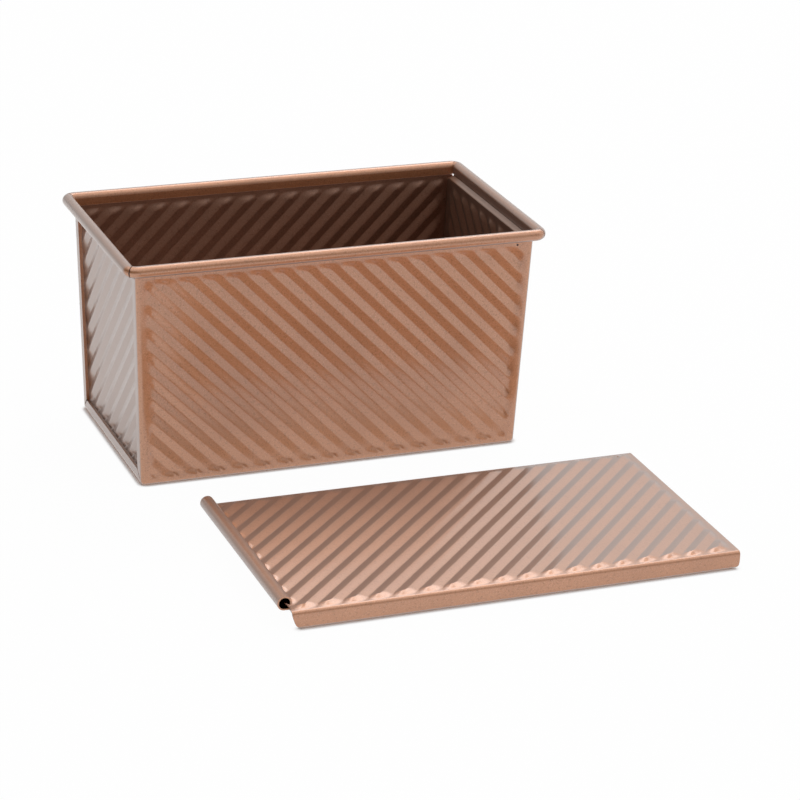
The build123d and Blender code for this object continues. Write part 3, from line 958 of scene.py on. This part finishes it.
class LOAFPAN_OT_stage(bpy.types.Operator):
    """Build the floor, the lamps, the pale surroundings and the photograph's camera"""

    bl_idname = "loafpan.stage"
    bl_label = "Stage"

    def execute(self, context):
        scene = context.scene
        self.make_floor(scene)
        self.make_world(scene)
        self.make_lamps(scene)
        self.make_camera(scene)
        scene.view_settings.view_transform = "Standard"
        return {"FINISHED"}

    def make_floor(self, scene):
        """A wide pale floor just under the pan."""
        reach, level = 6.0, -0.00005
        corners = [(-reach, -reach), (reach, -reach), (reach, reach), (-reach, reach)]
        mesh = bpy.data.meshes.new("floor")
        mesh.from_pydata([(x, y, level) for x, y in corners], [], [(0, 1, 2, 3)])
        floor = bpy.data.objects.new("floor", mesh)
        scene.collection.objects.link(floor)
        material, tree, shader = new_material("pale_floor")
        feed(tree, shader.inputs["Base Color"], scene.loafpan_colours.floor)
        feed(tree, shader.inputs["Roughness"], 0.9)
        feed(tree, shader.inputs["Specular IOR Level"], 0.0)

        # The camera and reflections see plain white, which close to the object gives way to the
        # floor's own shadow
        lamps = scene.loafpan_lamps
        closeness = tree.nodes.new("ShaderNodeAmbientOcclusion")
        feed(tree, closeness.inputs["Distance"], lamps.contact)
        open_share = ramp(tree, closeness.outputs["AO"], *CONTACT_LIMITS, 0, lamps.floor_seen)
        path = tree.nodes.new("ShaderNodeLightPath").outputs
        seen = calculated(tree, "MULTIPLY", path["Is Camera Ray"], open_share)
        mirrored = calculated(tree, "MULTIPLY", path["Is Glossy Ray"], lamps.floor_mirrored)
        white = tree.nodes.new("ShaderNodeEmission").outputs[0]
        either = calculated(tree, "MAXIMUM", seen, mirrored)
        show_mixed(tree, either, shader.outputs[0], white, "Material Output")
        mesh.materials.append(material)

    def make_world(self, scene):
        """Plain and pale to the camera, and a soft light that differs behind, beside and overhead."""
        lamps = scene.loafpan_lamps
        world = bpy.data.worlds.new("studio")
        scene.world = world
        world.use_nodes = True
        tree = world.node_tree
        way = tree.nodes.new("ShaderNodeTexCoord").outputs["Generated"]
        level = [lamps.room]
        for side, more in [(BEHIND, lamps.behind), (BESIDE, lamps.beside)]:
            facing = tree.nodes.new("ShaderNodeVectorMath")
            facing.operation = "DOT_PRODUCT"
            feed(tree, facing.inputs[0], way)
            facing.inputs[1].default_value = (math.sin(side), math.cos(side), 0)
            level.append(ramp(tree, facing.outputs["Value"], *SIDE_LIMITS, 0, more))
        low = calculated(tree, "ADD", calculated(tree, "ADD", level[0], level[1]), level[2])
        height = tree.nodes.new("ShaderNodeSeparateXYZ")
        feed(tree, height.inputs[0], way)
        over = ramp(tree, height.outputs["Z"], *OVERHEAD_LIMITS)
        change = calculated(tree, "SUBTRACT", lamps.overhead, low)
        strength = calculated(tree, "ADD", low, calculated(tree, "MULTIPLY", over, change))
        soft = tree.nodes["Background"]
        feed(tree, soft.inputs["Color"], (1, 1, 1))
        feed(tree, soft.inputs["Strength"], strength)
        pale = tree.nodes.new("ShaderNodeBackground").outputs[0]
        seen = tree.nodes.new("ShaderNodeLightPath").outputs["Is Camera Ray"]
        show_mixed(tree, seen, soft.outputs[0], pale, "World Output")

    def set_up(self, scene, name, data, axes, place):
        """Adds a lamp or camera at a place, with its own axes along three directions."""
        made = bpy.data.objects.new(name, data)
        scene.collection.objects.link(made)
        turned = Matrix(np.stack(axes, 1).tolist()).to_4x4()
        made.matrix_world = Matrix.Translation(place) @ turned
        return made

    def make_lamps(self, scene):
        """Soft square lamps, each turned to the middle of the object."""
        lamps = scene.loafpan_lamps
        target = np.array([0.02, -0.07, 0.03])
        for name, watts, place, side in [
            ("lamp_top", lamps.top, (-0.3, 0.1, 1.6), 1.4),
            ("lamp_right", lamps.right, (1.6, -0.6, 0.7), 1.0),
            ("lamp_high", lamps.high, (0.62, 0.70, 1.40), 0.8),
        ]:
            lamp = bpy.data.lights.new(name, "AREA")
            lamp.energy = watts
            lamp.shape = "SQUARE"
            lamp.size = side
            back = np.array(place) - target
            back /= np.linalg.norm(back)
            across = np.cross([0, 0, 1], back)
            across /= np.linalg.norm(across)
            self.set_up(scene, name, lamp, [across, np.cross(back, across), back], place)

    def make_camera(self, scene):
        """The photograph's camera: yaw from +Y to +X, then pitch down, then roll about the view."""
        yaw, pitch, roll = CAMERA_YAW, CAMERA_PITCH, CAMERA_ROLL
        ahead = np.array(
            [math.sin(yaw) * math.cos(pitch), math.cos(yaw) * math.cos(pitch), -math.sin(pitch)]
        )
        level = np.array([math.cos(yaw), -math.sin(yaw), 0])
        over = np.cross(level, ahead)
        right = math.cos(roll) * level + math.sin(roll) * over
        up = math.cos(roll) * over - math.sin(roll) * level
        lens = bpy.data.cameras.new("photo_camera")
        lens.lens = CAMERA_LENS
        lens.sensor_width = CAMERA_SENSOR
        scene.camera = self.set_up(scene, "photo_camera", lens, [right, up, -ahead], CAMERA_PLACE)


class LOAFPAN_PT_panel(bpy.types.Panel):
    """The pan's pieces, sizes and colours in the sidebar"""

    bl_idname = "LOAFPAN_PT_panel"
    bl_label = "Loaf Pan"
    bl_space_type = "VIEW_3D"
    bl_region_type = "UI"
    bl_category = "Loaf Pan"

    def draw(self, context):
        for operator in OPERATORS:
            self.layout.operator(operator.bl_idname)
        for name, group in GROUPS.items():
            box = self.layout.box()
            box.label(text=group.__doc__)
            for prop in group.__annotations__:
                box.prop(getattr(context.scene, name), prop)


GROUPS = {
    "loafpan_sizes": LoafPanSizes,
    "loafpan_ridges": LoafPanRidges,
    "loafpan_lid": LoafPanLid,
    "loafpan_colours": LoafPanColours,
    "loafpan_lamps": LoafPanLamps,
}
OPERATORS = [LOAFPAN_OT_body, LOAFPAN_OT_ends, LOAFPAN_OT_wire, LOAFPAN_OT_lid, LOAFPAN_OT_stage]


def register():
    for group in GROUPS.values():
        bpy.utils.register_class(group)
    for operator in OPERATORS:
        bpy.utils.register_class(operator)
    bpy.utils.register_class(LOAFPAN_PT_panel)
    for name, group in GROUPS.items():
        setattr(bpy.types.Scene, name, bpy.props.PointerProperty(type=group))


def unregister():
    for name in GROUPS:
        delattr(bpy.types.Scene, name)
    bpy.utils.unregister_class(LOAFPAN_PT_panel)
    for operator in reversed(OPERATORS):
        bpy.utils.unregister_class(operator)
    for group in reversed(GROUPS.values()):
        bpy.utils.unregister_class(group)


def main():
    """Registers the classes and builds every piece and the stage."""
    register()
    bpy.ops.loafpan.body()
    bpy.ops.loafpan.ends()
    bpy.ops.loafpan.wire()
    bpy.ops.loafpan.lid()
    bpy.ops.loafpan.stage()


if __name__ == "__main__":
    main()
